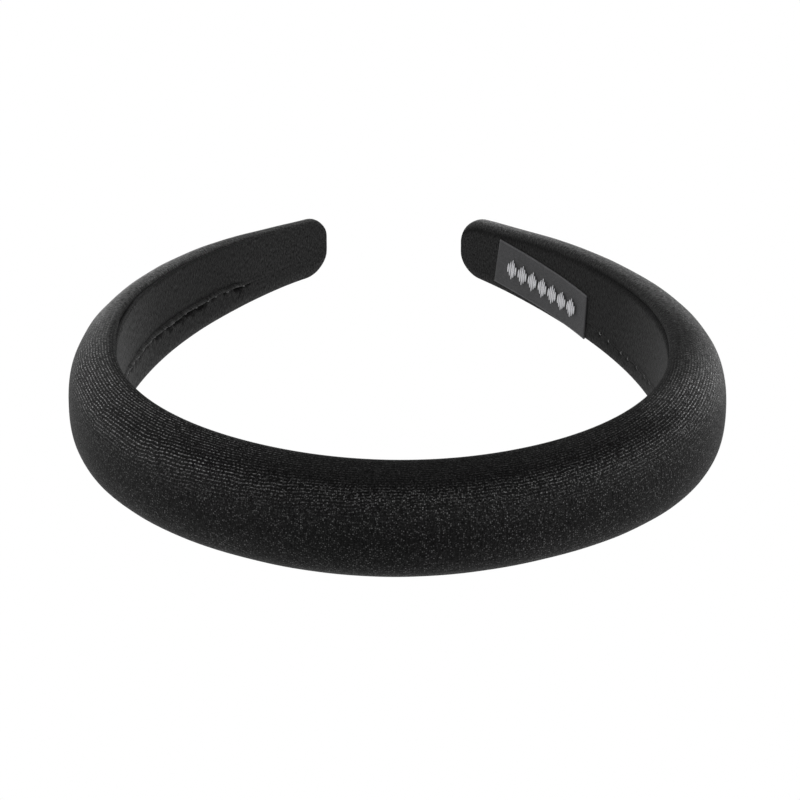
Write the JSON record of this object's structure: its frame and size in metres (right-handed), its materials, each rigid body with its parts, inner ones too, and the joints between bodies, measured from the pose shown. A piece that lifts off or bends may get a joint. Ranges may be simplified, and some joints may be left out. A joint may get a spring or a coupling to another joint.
{
  "type": "padded headband",
  "caption": "Open horseshoe hair band with a domed foam padding on a stiff hoop, wrapped in stretch velvet, with a folded closing seam and a small woven label inside.",
  "frame": {"origin": "centre of the plan outline, on the surface that the band's lower edge rests on", "axes": "+Y from the crown to the two tips, +X to the wearer's side that carries the label, +Z across the band, up as it lies"},
  "size_m": [0.156, 0.1548, 0.0253],
  "materials": {
    "velvet": "black stretch velvet with a short pile and fine knit rows",
    "ribbon": "dark grey woven ribbon with a pale woven motif"
  },
  "bodies": {
    "root": {"padded_band": "velvet", "label": "ribbon"}
  },
  "joints": []
}
